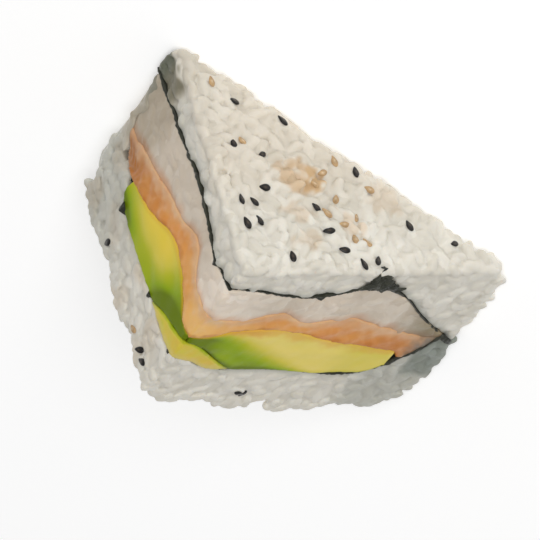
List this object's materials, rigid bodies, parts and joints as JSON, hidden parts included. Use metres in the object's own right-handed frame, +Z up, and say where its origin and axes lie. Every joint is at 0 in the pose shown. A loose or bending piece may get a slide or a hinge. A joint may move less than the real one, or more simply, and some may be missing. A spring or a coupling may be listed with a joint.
{
  "type": "sushi sandwich",
  "caption": "Triangular quarter of a pressed sushi sandwich: outer rice with sesame, seaweed sheets, inner rice, salmon and avocado slices.",
  "frame": {"origin": "middle of the bounding box, at its bottom: on the flat base that was the slab's outer side", "axes": "+X along the base, toward the end of the shorter cut; -Y is the seeded front face; +Z up, toward the right-angled corner"},
  "size_m": [0.096, 0.0678, 0.0503],
  "materials": {
    "outer_rice": "moist cooked rice",
    "inner_rice": "pressed cooked rice, tinted by the salmon",
    "nori": "damp seaweed sheet",
    "salmon": "moist salmon",
    "avocado": "moist avocado flesh, greener toward its skin side",
    "black_sesame": "black sesame",
    "toasted_sesame": "toasted white sesame"
  },
  "bodies": {
    "root": {"rice_front": "outer_rice", "rice_back": "outer_rice", "nori_front": "nori", "nori_back": "nori", "rice_inner": "inner_rice", "salmon": "salmon", "avocado_right": "avocado", "avocado_left": "avocado", "avocado_corner": "avocado"}
  },
  "joints": []
}
